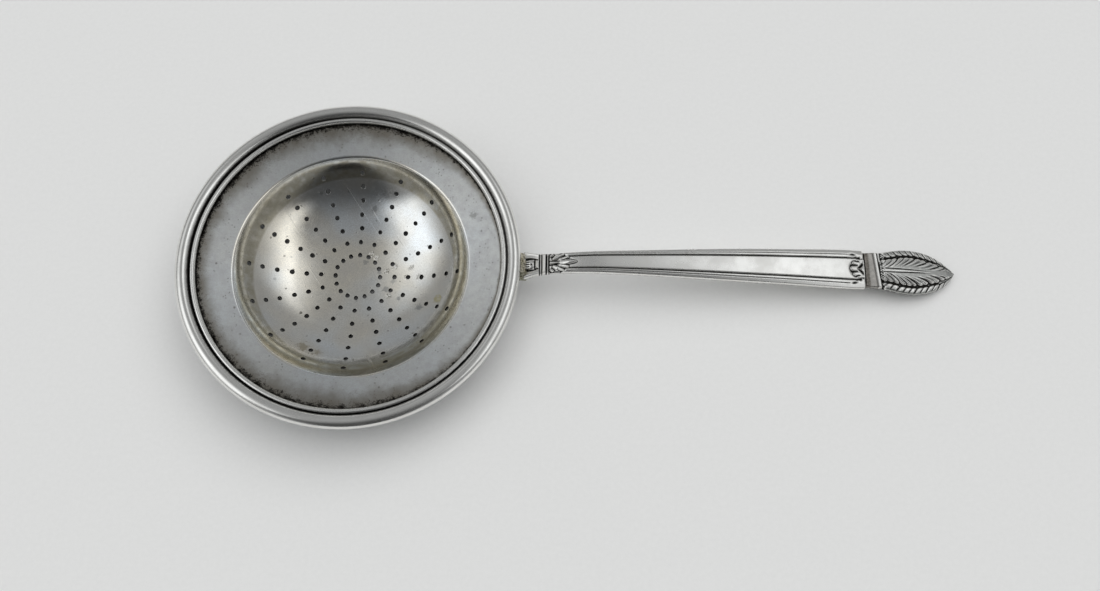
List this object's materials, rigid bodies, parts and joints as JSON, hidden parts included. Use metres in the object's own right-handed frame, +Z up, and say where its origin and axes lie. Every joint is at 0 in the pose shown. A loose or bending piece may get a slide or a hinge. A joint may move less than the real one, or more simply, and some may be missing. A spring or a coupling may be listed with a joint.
{
  "type": "tea strainer",
  "caption": "Round over-the-cup strainer: perforated bowl, dished flange, beaded rim and a leaf-tipped handle.",
  "frame": {"origin": "centre of the flat seat under the rim, on the bowl's axis", "axes": "+Z up along the bowl's axis, +X along the handle towards its tip"},
  "size_m": [0.1955, 0.085, 0.0168],
  "materials": {
    "sheet_silver": "worn polished silver with tarnish in the crevice",
    "wire_silver": "polished silver",
    "struck_silver": "satin silver with blackened recesses",
    "solder": "yellowish, slightly porous hard solder"
  },
  "bodies": {
    "root": {"strainer_bowl": "sheet_silver", "rim_bead_outer": "wire_silver", "rim_bead_inner": "wire_silver", "handle": "struck_silver", "handle_solder": "solder"}
  },
  "joints": []
}
